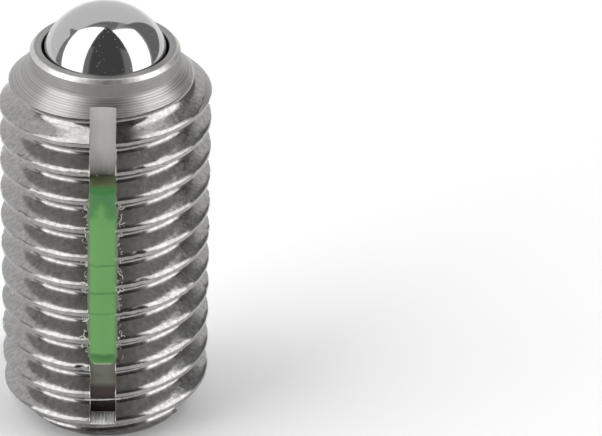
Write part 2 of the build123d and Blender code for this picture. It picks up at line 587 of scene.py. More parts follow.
def strip_section(height):
    """The strip's outline at one height, from its right inner corner round the front to the left."""
    from_foot, from_cut = height - strip_foot, strip_cut - height
    from_end = min(from_foot, from_cut)
    half = strip_half - rounding_back(from_foot, strip_corner) - rounding_back(from_cut, cut_corner)
    edge = strip_edge - rounding_back(from_cut, cut_fall) - rounding_back(from_foot, foot_fall)
    right, crown = [], []
    for step in range(side_points + 1):
        right.append([half, strip_inner + (edge - strip_inner) * step / side_points])
    for step in range(1, side_points):
        share = step / side_points * 2 - 1
        crown.append([-half * share, edge + strip_crown * (1 - share**2) * min(from_end / flat_end, 1)])
    left = [[-x, depth] for x, depth in reversed(right)]
    for point in right + left:
        way = front + asin(point[0] / point[1])
        room = point[1] - thread_radius(way, height)
        grain = 0.7 + 0.6 * noise.noise(Vector((point[0] * 3, point[1] * 2, height * 5)))
        lobe = strip_spread * held(room / lobe_room) * grain * held((from_end - flat_end) / lobe_fade)
        point[0] += lobe if point[0] > 0 else -lobe
    return right + crown + left


print("widest section", round(2 * max(x for x, depth in strip_section(7.8)), 2), "mm")

# %% [markdown]
# The sections are stacked closely at both ends, where the corners are round, and more widely between.
# A cosine of the place does that.

# %% Stack the sections
def stack(name, sections, heights, turn, material):
    """A closed solid from a stack of outlines of equal length, turned about the screw axis."""
    work = bmesh.new()
    layers = []
    for section, height in zip(sections, heights):
        layers.append([work.verts.new((x * MM, -depth * MM, height * MM)) for x, depth in section])
    count = len(layers[0])
    for low, high in zip(layers, layers[1:]):
        for step in range(count):
            after = (step + 1) % count
            work.faces.new((low[step], low[after], high[after], high[step]))
    work.faces.new(layers[0])
    work.faces.new(layers[-1])
    bmesh.ops.rotate(work, verts=work.verts, matrix=Matrix.Rotation(radians(turn), 3, "Z"))
    bmesh.ops.recalc_face_normals(work, faces=work.faces)
    return add_solid(name, work, [material])


layer_count = 260
shares = [(1 - cos(pi * layer / layer_count)) / 2 for layer in range(layer_count + 1)]
heights = [strip_foot + (strip_cut - strip_foot) * share for share in shares]
sections = [strip_section(height) for height in heights]
strip = stack("locking_strip_pressed", sections, heights, groove_turn, nylon)
shade(strip.data, 40)
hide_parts("locking_strip")
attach(strip, "sleeve")
print("strip", len(strip.data.polygons), "faces")

# %% [markdown]
# ## Burrs and shavings
#
# A pressed and cut edge is never clean. Thin curls of nylon hang along both edges of the groove, and
# small steel burrs sit on the crests. They are one small curl, an arc with a thin wire's thickness,
# placed many times at random turns and sizes. Geometry Nodes does the placing; the points on which
# the curls sit come from the thread's rule, so that each one touches the metal.

# %% A tree that sets curls on points
curl_sizes = {
    "Curl Radius": 0.12 * MM,
    "Curl Thickness": 0.021 * MM,
    "Smallest": 0.5,
    "Largest": 1.5,
    "Seed": 4,
}
burr_sizes = {**curl_sizes, "Curl Radius": 0.05 * MM, "Curl Thickness": 0.02 * MM, "Seed": 9}
tree, given = start_tree("curls on points", curl_sizes)
bend = {"Resolution": 7, "Radius": given["Curl Radius"], "Start Angle": 0.0, "Sweep Angle": 2.5}
arc = add_node(tree, "GeometryNodeCurveArc", bend)
rim = add_node(tree, "GeometryNodeCurvePrimitiveCircle", {"Resolution": 3, "Radius": given["Curl Thickness"]})
curl = add_node(tree, "GeometryNodeCurveToMesh", {0: arc, 1: rim, "Fill Caps": True})
any_turn = {0: (-pi, -pi, -pi), 1: (pi, pi, pi), "Seed": given["Seed"]}
turned_by = add_node(tree, "FunctionNodeRandomValue", any_turn, data_type="FLOAT_VECTOR")
any_size = {2: given["Smallest"], 3: given["Largest"], "Seed": given["Seed"]}
scaled_by = add_node(tree, "FunctionNodeRandomValue", any_size, data_type="FLOAT").outputs[1]
placing = {"Points": given["Seeds"], "Instance": curl, "Rotation": turned_by, "Scale": scaled_by}
placed = add_node(tree, "GeometryNodeInstanceOnPoints", placing)
end_tree(tree, placed, given["Material"])
curl_tree = tree
print("the curl tree has", len(curl_tree.nodes), "nodes")

# %% [markdown]
# The curls hang along the strip, most of them close to the groove's edge, and only where the thread is
# below its crest. The burrs sit on the crests, anywhere round, and more of them on the ninth, which the
# cutter left last.

# %% Points where the curls sit
chance = Random(12)
edge_radius = 4.6
curl_count, burr_count = 250, 150
burr_turns = (1, 2, 3, 4, 5, 6, 7, 8, 9, 9, 9, 9, 9)


def on_thread(angle, height, above):
    """A place a little above the thread's surface, in metres."""
    out = thread_radius(angle, height) + above
    return (out * cos(angle) * MM, out * sin(angle) * MM, height * MM)


curl_places = []
while len(curl_places) < curl_count:
    side = chance.choice((-1, 1))
    height = chance.uniform(strip_low, strip_high - 1.2)
    way = front + side * chance.triangular(0.60, 0.95, 0.66) / edge_radius
    if crest_radius - thread_radius(way, height) > 0.06:
        curl_places.append(on_thread(way, height, chance.uniform(0.0, 0.2)))
burr_places = []
while len(burr_places) < burr_count:
    way = chance.uniform(-pi, pi)
    turn = chance.choice(burr_turns)
    height = crest_height + thread_pitch * (way / (2 * pi) + turn) + chance.uniform(-0.1, 0.1)
    burr_places.append(on_thread(way, height, -0.05))
print(len(curl_places), "nylon curls and", len(burr_places), "steel burrs")

# %% [markdown]
# One tree grows both kinds. The places go in as a mesh of loose points, and the sizes and the seed tell
# the kinds apart: a nylon curl is more than twice as wide as a steel burr.

# %% Grow the curls and the burrs
def grow_on(name, places, sizes, material):
    """Curls on a list of places, as one plain mesh."""
    seeds = bpy.data.meshes.new(name + "_places")
    seeds.from_pydata(places, [], [])
    return grow(name, curl_tree, sizes, material, seeds)


curls = grow_on("locking_strip_shavings", curl_places, curl_sizes, shavings)
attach(curls, "sleeve")
burrs = grow_on("sleeve_burrs", burr_places, burr_sizes, torn_edge)
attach(burrs, "sleeve")
print("shavings", len(curls.data.polygons), "burrs", len(burrs.data.polygons), "faces")

# %% [markdown]
# The cutter that milled the groove pushed a thin lip of metal ahead of it. The lip still spans the
# groove, a little below the lowest crest, as one fine bright line with a dark gap under it. Where the
# cutter plunged in, it also tore up both sides of the groove's end. A curve with a round bevel draws
# such a burr as a fine wire along a list of places.

# %% Burrs drawn as fine wires
def fine_wires(name, paths, thickness, material):
    """Closed round wires along lists of places in metres, as one plain mesh."""
    strand = bpy.data.curves.new(name, "CURVE")
    strand.dimensions = "3D"
    strand.bevel_depth = thickness / 2 * MM
    strand.bevel_resolution = 1
    strand.use_fill_caps = True
    for places in paths:
        line = strand.splines.new("POLY")
        line.points.add(len(places) - 1)
        for point, place in zip(line.points, places):
            point.co = (*place, 1)
    holder = add_object(name, strand)
    mesh = plain_mesh(holder)
    bpy.data.objects.remove(holder)
    mesh.materials.clear()
    mesh.materials.append(material)
    shade(mesh, 60)
    piece = add_object(name, mesh)
    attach(piece, "sleeve")
    return piece


print("wire helper is ready")

# %% [markdown]
# The lip bends with the thread, so its places go round the front in small steps. The two torn edges
# are straight. They run outwards from the groove's floor, at its lower end.

# %% The lip across the groove, and its torn lower end
lip_drop, lip_depth, lip_overlap, lip_steps = 0.17, 0.04, 0.25, 6
torn_side, torn_inner, torn_outer = 0.575, groove_floor + 0.15, crest_radius - 0.05
groove_rotation = Matrix.Rotation(radians(groove_turn), 3, "Z")
lip_out = crest_radius - lip_depth
lip_path = []
for step in range(-lip_steps, lip_steps + 1):
    way = front + step / lip_steps * (groove_half + lip_overlap) / crest_radius
    height = crest_height + thread_pitch * (way / (2 * pi) + 1) - lip_drop
    lip_path.append((lip_out * cos(way) * MM, lip_out * sin(way) * MM, height * MM))
torn_paths = []
for side in (-1, 1):
    torn_path = []
    for out in (torn_inner, (torn_inner + torn_outer) / 2, torn_outer):
        torn_path.append(tuple(groove_rotation @ Vector((side * torn_side, -out, groove_end + 0.01)) * MM))
    torn_paths.append(torn_path)
lip = fine_wires("sleeve_groove_lip", [lip_path], 0.085, burnished)
torn_edges = fine_wires("sleeve_groove_torn_edges", torn_paths, 0.08, torn_edge)
print("lip", len(lip.data.polygons), "torn edges", len(torn_edges.data.polygons), "faces")

# %% [markdown]
# The cutter also raised a hair of metal along both edges of the groove. It follows the thread up and
# down, and draws each edge as a fine bright line.

# %% The burr along each edge of the groove
hair_foot, hair_step, hair_count, hair_thickness = groove_end + 0.1, 0.078, 190, 0.03
hair_paths = []
for side in (-1, 1):
    hair_path = []
    for step in range(hair_count):
        height = hair_foot + step * hair_step
        out = thread_radius(front + side * groove_half / edge_radius, height)
        place = Vector((side * (groove_half + 0.005), -sqrt(out**2 - groove_half**2) - 0.01, height))
        hair_path.append(tuple(groove_rotation @ place * MM))
    hair_paths.append(hair_path)
hairs = fine_wires("sleeve_groove_hairs", hair_paths, hair_thickness, torn_edge)
print("hairs", len(hairs.data.polygons), "faces")

# %% [markdown]
# ## The ball
#
# A bearing ball mirrors the whole room, and the poles of an ordinary sphere mesh pinch the
# reflections. A cube that is divided finely and then blown up to a sphere has no poles. The tangent of
# each share keeps the faces about equal in size.

# %% Blow a cube up to a ball
ball_cuts = 39
work = bmesh.new()
bmesh.ops.create_cube(work, size=2)
bmesh.ops.subdivide_edges(work, edges=work.edges, cuts=ball_cuts, use_grid_fill=True)
for vert in work.verts:
    spread_out = Vector(tan(share * pi / 4) for share in vert.co)
    vert.co = spread_out.normalized() * ball_radius * MM + Vector((0, 0, ball_centre * MM))
for face in work.faces:
    face.smooth = True
ball = add_solid("ball_polished", work, [ball_steel])
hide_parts("ball")
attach(ball, "ball")
print("ball", len(ball.data.polygons), "faces")

# %% [markdown]
# ## The spring
#
# The spring is wound from round wire with a closed coil at each end, ground flat. The rule is a helix
# whose pitch changes: a line of points gets its angle from its place, and its height from two pitches,
# a tight one in the end coils and an open one between.

# %% The spring's tree: the turn and the height of each point
wire_radius = 0.5
coil_radius = bore_radius - 0.20 - wire_radius
active_coils, closed_coils, closed_pitch = 5.5, 1.0, 1.04
spring_length = spring_high - spring_low
active_pitch = (spring_length - 2 * closed_coils * closed_pitch) / active_coils
spring_sizes = {
    "Coil Radius": coil_radius * MM,
    "Wire Radius": wire_radius * MM,
    "Floor": spring_low * MM,
    "Top": spring_high * MM,
    "Coils": active_coils + 2 * closed_coils,
    "Closed Coils": closed_coils,
    "Active Coils": active_coils,
    "Closed Pitch": closed_pitch * MM,
    "Active Pitch": active_pitch * MM,
    "Points": 480,
    "Wire Sides": 20,
}
tree, given = start_tree("closed coil spring", spring_sizes)
line = add_node(tree, "GeometryNodeCurvePrimitiveLine")
fine = add_node(tree, "GeometryNodeResampleCurve", {0: line, "Count": given["Points"]})
share = add_node(tree, "GeometryNodeSplineParameter").outputs["Factor"]
turn = add_node(tree, "ShaderNodeMath", {0: share, 1: given["Coils"]}, operation="MULTIPLY")
angle = add_node(tree, "ShaderNodeMath", {0: turn, 1: 2 * pi}, operation="MULTIPLY")
past = add_node(tree, "ShaderNodeMath", {0: turn, 1: given["Closed Coils"]}, operation="SUBTRACT")
begun = add_node(tree, "ShaderNodeMath", {0: past, 1: 0.0}, operation="MAXIMUM")
opened = add_node(tree, "ShaderNodeMath", {0: begun, 1: given["Active Coils"]}, operation="MINIMUM")
shut = add_node(tree, "ShaderNodeMath", {0: turn, 1: opened}, operation="SUBTRACT")
tight = add_node(tree, "ShaderNodeMath", {0: shut, 1: given["Closed Pitch"]}, operation="MULTIPLY")
wide = add_node(tree, "ShaderNodeMath", {0: opened, 1: given["Active Pitch"]}, operation="MULTIPLY")
rise = add_node(tree, "ShaderNodeMath", {0: tight, 1: wide})
level = add_node(tree, "ShaderNodeMath", {0: rise, 1: given["Floor"]})
print("open coils climb", round(active_pitch, 2), "mm a turn")

# %% [markdown]
# The points go to their places and a circle follows them as the wire. Grinding needs no cutter: wire
# that would pass the bore's floor or the ball's seat is held at that height, which makes it flat there.

# %% Wind the wire and grind its ends
cosine = add_node(tree, "ShaderNodeMath", {0: angle}, operation="COSINE")
sine = add_node(tree, "ShaderNodeMath", {0: angle}, operation="SINE")
right = add_node(tree, "ShaderNodeMath", {0: cosine, 1: given["Coil Radius"]}, operation="MULTIPLY")
back = add_node(tree, "ShaderNodeMath", {0: sine, 1: given["Coil Radius"]}, operation="MULTIPLY")
spot = add_node(tree, "ShaderNodeCombineXYZ", {0: right, 1: back, 2: level})
wound = add_node(tree, "GeometryNodeSetPosition", {0: fine, "Position": spot})
round_wire = {"Resolution": given["Wire Sides"], "Radius": given["Wire Radius"]}
section = add_node(tree, "GeometryNodeCurvePrimitiveCircle", round_wire)
wire = add_node(tree, "GeometryNodeCurveToMesh", {0: wound, 1: section, "Fill Caps": True})
place = add_node(tree, "ShaderNodeSeparateXYZ", {0: add_node(tree, "GeometryNodeInputPosition")}).outputs
off_floor = add_node(tree, "ShaderNodeMath", {0: place["Z"], 1: given["Floor"]}, operation="MAXIMUM")
between = add_node(tree, "ShaderNodeMath", {0: off_floor, 1: given["Top"]}, operation="MINIMUM")
pressed = add_node(tree, "ShaderNodeCombineXYZ", {0: place["X"], 1: place["Y"], 2: between})
ground = add_node(tree, "GeometryNodeSetPosition", {0: wire, "Position": pressed})
end_tree(tree, ground, given["Material"])
spring = grow("spring_wound", tree, spring_sizes, wire_steel)
shade(spring.data, 35)
print("spring", len(spring.data.polygons), "faces")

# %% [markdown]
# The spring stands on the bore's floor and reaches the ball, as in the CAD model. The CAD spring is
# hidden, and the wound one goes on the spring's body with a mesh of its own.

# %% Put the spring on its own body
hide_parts("spring")
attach(spring, "spring")
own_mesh(spring)

# %% [markdown]
# ## Stainless steel
#
# Stainless steel, type 303, is the usual steel for such sleeves because it cuts cleanly. A cut face of
# it is a warm mid grey. The lathe tool leaves rings some tenths of a millimetre apart. Such rings
# spread a reflection across them and keep it sharp along them, which is what an anisotropic finish is.
# Values that are the same all over a surface are set on the shader itself, and only what changes from
# place to place gets nodes.

# %% Helpers for the finishes
def clear(material, constants):
    """A fresh node tree of a shader and an output, with the shader's constants, and the shader."""
    material.use_nodes = True
    tree = material.node_tree
    tree.nodes.clear()
    surface = add_node(tree, "ShaderNodeBsdfPrincipled", constants)
    add_node(tree, "ShaderNodeOutputMaterial", {0: surface})
    return tree, surface


def object_place(tree):
    """The place on the object, in metres."""
    return add_node(tree, "ShaderNodeTexCoord").outputs["Object"]


def blotches(tree, position, size, detail=5.0):
    """Cloudy noise with patches of a size in millimetres."""
    cloud = {"Vector": position, "Scale": 1 / (size * MM), "Detail": detail}
    return add_node(tree, "ShaderNodeTexNoise", cloud)


def spread(tree, value, low, high, start=0.32, finish=0.68):
    """A noise value spread over a range."""
    return add_node(tree, "ShaderNodeMapRange", {0: value, 1: start, 2: finish, 3: low, 4: high})


def roughen(tree, surface, height, relief, under=None):
    """A bump of a relief in millimetres, on top of an earlier bump."""
    inputs = {"Height": height, "Distance": relief * MM}
    if under:
        inputs["Normal"] = under
    bump = add_node(tree, "ShaderNodeBump", inputs)
    connect(tree, surface, {"Normal": bump})
    return bump


def tint(tree, surface, factor, hex_low, hex_high):
    """The base colour, blended between two colours by a factor."""
    colours = {0: factor, 6: linear(hex_low), 7: linear(hex_high)}
    blend = add_node(tree, "ShaderNodeMix", colours, data_type="RGBA").outputs[2]
    connect(tree, surface, {"Base Color": blend})
    return blend


print("finish helpers are ready")

# %% [markdown]
# A lathe draws its lines round the axis, on a cone or a flat end as well as on a barrel. So this noise
# reads four numbers: the direction from the axis, which changes slowly, and the distance out and the
# height, which change fast. A short length breaks the lines up into scratches. The length holds at a
# radius of 4.5 mm, about that of the flanks.

# %% Lines round the axis
def lathe_lines(tree, position, width, length):
    """Noise drawn out along the cutting direction: lines of a width and a length in millimetres."""
    turns = 4.5 / length
    height = add_node(tree, "ShaderNodeSeparateXYZ", {0: position}).outputs["Z"]
    flat = add_node(tree, "ShaderNodeVectorMath", {0: position, 1: (1, 1, 0)}, operation="MULTIPLY")
    out = add_node(tree, "ShaderNodeVectorMath", {0: flat}, operation="LENGTH").outputs["Value"]
    way = add_node(tree, "ShaderNodeVectorMath", {0: flat}, operation="NORMALIZE")
    around = add_node(tree, "ShaderNodeVectorMath", {0: way, "Scale": turns}, operation="SCALE")
    ways = add_node(tree, "ShaderNodeSeparateXYZ", {0: around}).outputs
    outward = add_node(tree, "ShaderNodeMath", {0: out, 1: 1 / (width * MM)}, operation="MULTIPLY")
    upward = add_node(tree, "ShaderNodeMath", {0: height, 1: 1 / (width * MM)}, operation="MULTIPLY")
    spot = add_node(tree, "ShaderNodeCombineXYZ", {0: ways["X"], 1: ways["Y"], 2: outward})
    lines = {"Vector": spot, "W": upward, "Scale": 1.0, "Detail": 3.0}
    return add_node(tree, "ShaderNodeTexNoise", lines, noise_dimensions="4D")


print("lathe lines are ready")

# %% [markdown]
# Two dark stripes are marked on the foot with a laser, across the slot. The laser only oxidises the
# steel, so the stripes have no depth: they are a darker and duller colour of the same surface. They run
# over the face, where they are darkest, and fade on its chamfer and the first flank of the thread.

# %% The laser marks
mark_offset, mark_width, mark_reach = 0.97, 0.79, 1.30
mark_blur, mark_faded, mark_roughness, face_depth = 0.02, 0.3, 0.5, 0.06


def laser_mark(tree, surface, position, colour, roughness):
    """Sets the colour and roughness, both changed where the two laser stripes lie."""
    along_slot = (cos(radians(slot_turn)) / MM, sin(radians(slot_turn)) / MM, 0)
    along = add_node(tree, "ShaderNodeVectorMath", {0: position, 1: along_slot}, operation="DOT_PRODUCT")
    aside = add_node(tree, "ShaderNodeMath", {0: along.outputs["Value"]}, operation="ABSOLUTE")
    off = add_node(tree, "ShaderNodeMath", {0: aside, 1: mark_offset}, operation="SUBTRACT")
    away = add_node(tree, "ShaderNodeMath", {0: off}, operation="ABSOLUTE")
    inner, outer = mark_width / 2 - mark_blur, mark_width / 2 + mark_blur
    stripe = add_node(tree, "ShaderNodeMapRange", {0: away, 1: inner, 2: outer, 3: 1, 4: 0})
    height = add_node(tree, "ShaderNodeSeparateXYZ", {0: position}).outputs["Z"]
    fading = {0: height, 1: 0.0, 2: face_depth * MM, 3: 1.0, 4: mark_faded}
    on_face = add_node(tree, "ShaderNodeMapRange", fading)
    low = add_node(tree, "ShaderNodeMath", {0: height, 1: mark_reach * MM}, operation="LESS_THAN")
    strength = add_node(tree, "ShaderNodeMath", {0: on_face, 1: low}, operation="MULTIPLY")
    marked = add_node(tree, "ShaderNodeMath", {0: stripe, 1: strength}, operation="MULTIPLY")
    burnt = add_node(tree, "ShaderNodeMix", {0: marked, 6: colour, 7: linear("#62605F")}, data_type="RGBA")
    matt = add_node(tree, "ShaderNodeMix", {0: marked, 2: roughness, 3: mark_roughness})
    connect(tree, surface, {"Base Color": burnt.outputs[2], "Roughness": matt})


print("stripes", mark_width, "mm wide")

# %% [markdown]
# The cone, the nose and the foot are turned with a pointed tool, which leaves one ridge for each turn of
# the bar. The ridges count along the tool's path, down the cone as well as across a flat end, and a
# noise makes them uneven. They catch the light as fine rings. The collar is wiped duller than the cone,
# and the foot's chamfer, which faces down towards the floor, gets a painted shade, the darkest colour here.

# %% The turned faces: cone, nose and foot
feed, feed_waver, tone = 0.17, 9.0, 0.09
foot_low, foot_high, foot_reach = 0.06 * MM, 0.4 * MM, 2 * MM
collar_low, collar_high = (shoulder - 0.02) * MM, (shoulder + 0.12) * MM
rim_low, rim_high = (nose_top - 0.06) * MM, (nose_top - 0.03) * MM
tree, surface = clear(turned, {"Metallic": 1.0, "Anisotropic": 0.5, "Anisotropic Rotation": 0.25})
connect(tree, surface, {"Tangent": add_node(tree, "ShaderNodeTangent", direction_type="RADIAL", axis="Z")})
position = object_place(tree)
feed_lines = lathe_lines(tree, position, 0.07, 40)
height = add_node(tree, "ShaderNodeSeparateXYZ", {0: position}).outputs["Z"]
flat = add_node(tree, "ShaderNodeVectorMath", {0: position, 1: (1, 1, 0)}, operation="MULTIPLY")
out = add_node(tree, "ShaderNodeVectorMath", {0: flat}, operation="LENGTH").outputs["Value"]
from_middle = add_node(tree, "ShaderNodeMath", {0: height, 1: nose_top / 2 * MM}, operation="SUBTRACT")
from_middle = add_node(tree, "ShaderNodeMath", {0: from_middle}, operation="ABSOLUTE")
tool_path = add_node(tree, "ShaderNodeMath", {0: out, 1: from_middle}, operation="SUBTRACT")
feeds = add_node(tree, "ShaderNodeMath", {0: tool_path, 1: 2 * pi / (feed * MM)}, operation="MULTIPLY")
uneven = add_node(tree, "ShaderNodeMath", {0: feed_lines, 1: feed_waver}, operation="MULTIPLY")
phase = add_node(tree, "ShaderNodeMath", {0: feeds, 1: uneven})
ridges = add_node(tree, "ShaderNodeMath", {0: phase}, operation="SINE")
striped = add_node(tree, "ShaderNodeMath", {0: ridges, 1: tone, 2: feed_lines}, operation="MULTIPLY_ADD")
bright = tint(tree, surface, spread(tree, striped, 0, 1, 0.32, 0.62), "#8B8987", "#AEADAB")
collar = add_node(tree, "ShaderNodeMapRange", {0: height, 1: collar_low, 2: collar_high})
rim = add_node(tree, "ShaderNodeMapRange", {0: height, 1: rim_low, 2: rim_high})
wiped = add_node(tree, "ShaderNodeMath", {0: collar, 1: rim}, operation="SUBTRACT")
dulled = add_node(tree, "ShaderNodeMix", {0: wiped, 6: bright, 7: linear("#9C9B99")}, data_type="RGBA")
# Painted shade: the foot's chamfer faces down towards the floor, and its colour is darkened to #757472 there.
on_foot = add_node(tree, "ShaderNodeMapRange", {0: height, 1: foot_low, 2: foot_high})
low = add_node(tree, "ShaderNodeMath", {0: height, 1: foot_reach}, operation="LESS_THAN")
chamfer = add_node(tree, "ShaderNodeMath", {0: on_foot, 1: low}, operation="MULTIPLY")
colours = {0: chamfer, 6: dulled.outputs[2], 7: linear("#757472")}
colour_with_foot_shade = add_node(tree, "ShaderNodeMix", colours, data_type="RGBA")
satin = spread(tree, blotches(tree, position, 0.4), 0.36, 0.46)
coarse = add_node(tree, "ShaderNodeMath", {0: wiped, 1: 0.2, 2: satin}, operation="MULTIPLY_ADD")
laser_mark(tree, surface, position, colour_with_foot_shade.outputs[2], coarse)
rings = roughen(tree, surface, feed_lines, 0.010)
ridged = roughen(tree, surface, ridges, 0.0045, under=rings)
roughen(tree, surface, lathe_lines(tree, position, 0.05, 1.5), 0.006, under=ridged)
print("a feed ridge every", feed, "mm")

# %% [markdown]
# The thread is cut with a form tool at low speed, which tears the steel a little. Its flanks shine more
# than the turned faces, but they are blotchy, with short drag lines, and a film of dried oil darkens
# them beside the groove.

# %% The thread
groove_shift, film_inner, film_outer, film_strength = 0.13, 0.6, 2.1, 0.75
tree, surface = clear(threaded, {"Metallic": 1.0, "Anisotropic": 0.2, "Anisotropic Rotation": 0.25})
connect(tree, surface, {"Tangent": add_node(tree, "ShaderNodeTangent", direction_type="RADIAL", axis="Z")})
position = object_place(tree)
patches = tint(tree, surface, spread(tree, blotches(tree, position, 0.22, 6.0), 0, 1), "#ADACAB", "#93918F")
axes = add_node(tree, "ShaderNodeSeparateXYZ", {0: position}).outputs
centred = add_node(tree, "ShaderNodeMath", {0: axes["X"], 1: groove_shift * MM})
beside = add_node(tree, "ShaderNodeMath", {0: centred}, operation="ABSOLUTE")
film_edge = {0: beside, 1: film_inner * MM, 2: film_outer * MM, 3: film_strength, 4: 0.0}
close = add_node(tree, "ShaderNodeMapRange", film_edge, interpolation_type="SMOOTHSTEP")
in_front = add_node(tree, "ShaderNodeMath", {0: axes["Y"], 1: 0.0}, operation="LESS_THAN")
cloudy = spread(tree, blotches(tree, position, 0.5), 0.4, 1.0)
oily = add_node(tree, "ShaderNodeMath", {0: close, 1: in_front}, operation="MULTIPLY")
filmed = add_node(tree, "ShaderNodeMath", {0: oily, 1: cloudy}, operation="MULTIPLY")
dirty = add_node(tree, "ShaderNodeMix", {0: filmed, 6: patches, 7: linear("#7C7773")}, data_type="RGBA")
glossy = spread(tree, blotches(tree, position, 0.15), 0.09, 0.21)
laser_mark(tree, surface, position, dirty.outputs[2], glossy)
torn = roughen(tree, surface, blotches(tree, position, 0.16, 2.0), 0.0013)
roughen(tree, surface, lathe_lines(tree, position, 0.05, 0.8), 0.0016, under=torn)
print("the thread takes", len(tree.nodes), "nodes")

# %% [markdown]
# The punch that crimped the nose slid over its bevel and pressed the tool marks flat. A burnished face
# is brighter than a turned one and has no rings, only faint patches.

# %% The burnished rim
tree, surface = clear(burnished, {"Metallic": 1.0, "Roughness": 0.37})
position = object_place(tree)
tint(tree, surface, spread(tree, blotches(tree, position, 0.3), 0, 1), "#D6D5D2", "#BDBCB9")
roughen(tree, surface, blotches(tree, position, 0.2), 0.006)
print("rim takes", len(tree.nodes), "nodes")

# %% [markdown]
# A burr is freshly torn metal that nothing has rubbed dull, so it is the brightest steel on the part.

# %% The bright metal of the burrs
tree, surface = clear(torn_edge, {"Metallic": 1.0, "Roughness": 0.22})
tint(tree, surface, spread(tree, blotches(tree, object_place(tree), 0.3), 0, 1), "#F6F5F2", "#DAD9D6")
print("burrs take", len(tree.nodes), "nodes")

# %% [markdown]
# The groove and the slot are milled, so their lines run straight instead of round. The groove's floor
# is bright above the strip, with a painted greenish shade of the strip below it, and at its lowest part a
# painted dark brown reflection of the shadowed floor in front of the part.

# %% The milled groove
def straight_lines(tree, position, widths):
    """Noise with patches of three different lengths, in millimetres, along X, Y and Z."""
    shares = [1 / (width * MM) for width in widths]
    scaled = add_node(tree, "ShaderNodeVectorMath", {0: position, 1: shares}, operation="MULTIPLY")
    return add_node(tree, "ShaderNodeTexNoise", {"Vector": scaled, "Scale": 1.0, "Detail": 3.0})


dark_reflection_low, dark_reflection_high, strip_shade, wall_edge = 2.7, 3.1, 4.8, groove_floor + 0.1
tree, surface = clear(milled, {"Metallic": 1.0})
position = object_place(tree)
axes = add_node(tree, "ShaderNodeSeparateXYZ", {0: position}).outputs
streaks = straight_lines(tree, position, (0.05, 0.05, 1.2))
# Painted reflection: below 2.7 to 3.1 mm the floor turns dark brown, in place of the shadowed floor it
# mirrors.
dark_reflection_edge = {0: axes["Z"], 1: dark_reflection_low * MM, 2: dark_reflection_high * MM}
above_dark_reflection = add_node(tree, "ShaderNodeMapRange", dark_reflection_edge, interpolation_type="SMOOTHSTEP")
on_wall = add_node(tree, "ShaderNodeMath", {0: axes["Y"], 1: -wall_edge * MM}, operation="LESS_THAN")
clear_of_dark_reflection = add_node(tree, "ShaderNodeMath", {0: above_dark_reflection, 1: on_wall}, operation="MAXIMUM")
# Painted shade of the strip: below it the floor is a greenish grey, above it bright steel.
foot_edge = {0: axes["Z"], 1: strip_shade * MM, 2: (strip_shade + 0.1) * MM}
above_foot = add_node(tree, "ShaderNodeMapRange", foot_edge)
colours = {0: above_foot, 6: linear("#77786E"), 7: linear("#C6C4C1")}
steel_with_strip_shade = add_node(tree, "ShaderNodeMix", colours, data_type="RGBA").outputs[2]
floor_with_painted_shade = add_node(tree, "ShaderNodeMix", {0: clear_of_dark_reflection, 6: linear("#4E4643"), 7: steel_with_strip_shade}, data_type="RGBA")
top_of_strip = {0: axes["Z"], 1: strip_high * MM - 1 * MM, 2: strip_high * MM, 3: 0.0, 4: 0.2}
rougher = add_node(tree, "ShaderNodeMapRange", top_of_strip)
matt = add_node(tree, "ShaderNodeMath", {0: spread(tree, streaks, 0.28, 0.42), 1: rougher})
connect(tree, surface, {"Base Color": floor_with_painted_shade.outputs[2], "Roughness": matt})
roughen(tree, surface, streaks, 0.008)
print("groove takes", len(tree.nodes), "nodes")

# %% [markdown]
# At the groove's lower end the cutter plunged in. Its end teeth left a rough, bright face that is
# slightly hollow. A long slope in the bump leans the face towards the light, as the hollow does.

# %% The end of the groove
hollow_lean = 0.6
tree, surface = clear(end_milled, {"Metallic": 1.0, "Roughness": 0.55})
position = object_place(tree)
streaks = straight_lines(tree, position, (0.04, 1.2, 1.2))
tint(tree, surface, spread(tree, streaks, 0, 1, 0.4, 0.6), "#FFFFFF", "#C6C5C3")
runout = add_node(tree, "ShaderNodeSeparateXYZ", {0: position}).outputs["Y"]
hollow = add_node(tree, "ShaderNodeMath", {0: runout, 1: hollow_lean / MM}, operation="MULTIPLY")
leaned = roughen(tree, surface, hollow, 1.0)
roughen(tree, surface, streaks, 0.03, under=leaned)
print("the end face leans with a slope of", hollow_lean)

# %% [markdown]
# The slot is sawn straight across the foot, so its lines are turned with it by a Mapping node. The bore
# is drilled: rings again, but coarser and duller than on the outside.

# %% The slot and the bore
tree, surface = clear(slotted, {"Metallic": 1.0, "Roughness": 0.3})
position = object_place(tree)
aligned = add_node(tree, "ShaderNodeMapping", {0: position, "Rotation": (0, 0, radians(-slot_turn))})
streaks = straight_lines(tree, aligned, (1.2, 0.05, 0.05))
tint(tree, surface, spread(tree, streaks, 0, 1), "#BAB9B7", "#9A9997")
roughen(tree, surface, streaks, 0.01)

tree, surface = clear(bored, {"Metallic": 1.0, "Base Color": linear("#8C8B88"), "Roughness": 0.35})
roughen(tree, surface, lathe_lines(tree, object_place(tree), 0.08, 3), 0.006)
print("slot lines lie at", slot_turn, "degrees")

# %% [markdown]
# ## Nylon
#
# The strip is polyamide 6 with a green pigment: soft, slightly see-through, with light that wanders
# under its skin. Its colour changes along its length: pale where it was crushed at its lower end, then
# dark, then mid green with fine darker lines where the crests press on it, and darker again towards the
# sheared top. So the place along the strip becomes a number from 0 to 1. Near the top the border leans
# down at both sides, as the cutter dragged it, and a noise frays it.

